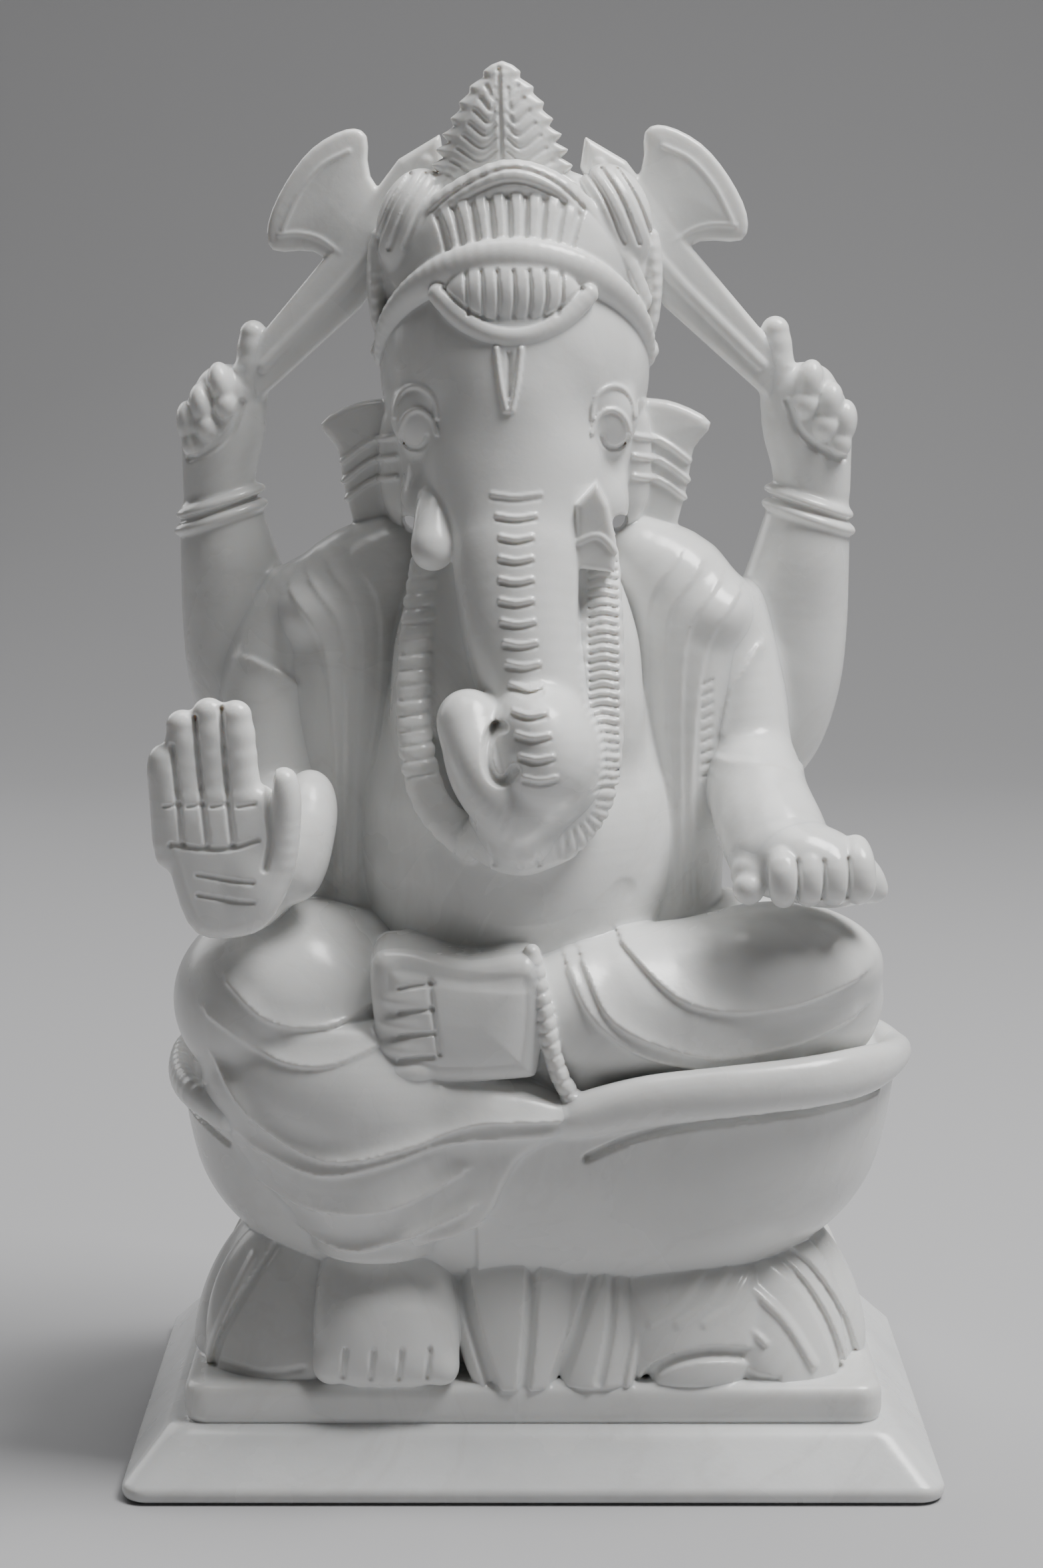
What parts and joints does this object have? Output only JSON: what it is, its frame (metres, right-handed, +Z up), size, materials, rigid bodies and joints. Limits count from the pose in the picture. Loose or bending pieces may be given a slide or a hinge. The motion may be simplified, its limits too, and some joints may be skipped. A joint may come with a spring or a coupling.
{
  "type": "seated elephant-headed idol",
  "caption": "White carved-stone idol of a seated elephant-headed, many-armed figure on a lotus seat and a sloped plinth.",
  "frame": {"origin": "centre of the plinth's underside, where the idol stands", "axes": "+Z up, the figure faces -Y, +X towards the figure's own left side"},
  "size_m": [0.1776, 0.119, 0.305],
  "materials": {
    "figure_marble": "polished",
    "base_marble": "polished"
  },
  "bodies": {
    "root": {"plinth": "base_marble", "step_slab": "figure_marble", "seat_stem": "figure_marble", "seat_petal_left": "figure_marble", "seat_petal_right": "figure_marble", "seat_petal_rear": "figure_marble", "petal_front_centre": "figure_marble", "petal_front_keel": "figure_marble", "petal_front_arch": "figure_marble", "petal_corner_left": "figure_marble", "petal_corner_right": "figure_marble", "petal_side_left": "figure_marble", "petal_side_right": "figure_marble", "petal_rear_left": "figure_marble", "petal_rear_right": "figure_marble", "right_thigh": "figure_marble", "right_shin": "figure_marble", "right_foot": "figure_marble", "left_thigh": "figure_marble", "left_shin": "figure_marble", "left_foot": "figure_marble", "dhoti_pleat": "figure_marble", "belly": "figure_marble", "chest": "figure_marble", "shawl_right": "figure_marble", "shawl_left": "figure_marble", "garland_right": "figure_marble", "garland_left": "figure_marble", "garland_pendant": "figure_marble", "right_upper_arm": "figure_marble", "right_forearm": "figure_marble", "right_palm": "figure_marble", "left_upper_arm": "figure_marble", "left_forearm": "figure_marble", "left_palm": "figure_marble", "left_rear_arm": "figure_marble", "right_rear_arm": "figure_marble", "left_bracelet": "figure_marble", "right_bracelet": "figure_marble", "left_rear_hand": "figure_marble", "right_rear_hand": "figure_marble", "left_axe_haft": "figure_marble", "left_axe_blade": "figure_marble", "right_axe_haft": "figure_marble", "right_axe_blade": "figure_marble", "head": "figure_marble", "trunk": "figure_marble", "right_tusk": "figure_marble", "left_tusk": "figure_marble", "right_ear": "figure_marble", "left_ear": "figure_marble", "crown_cap": "figure_marble", "crown_band": "figure_marble", "crown_fan": "figure_marble", "crown_arch": "figure_marble", "crown_spire": "figure_marble", "crown_leaf_right": "figure_marble", "crown_leaf_left": "figure_marble", "forehead_ornament": "figure_marble"}
  },
  "joints": []
}
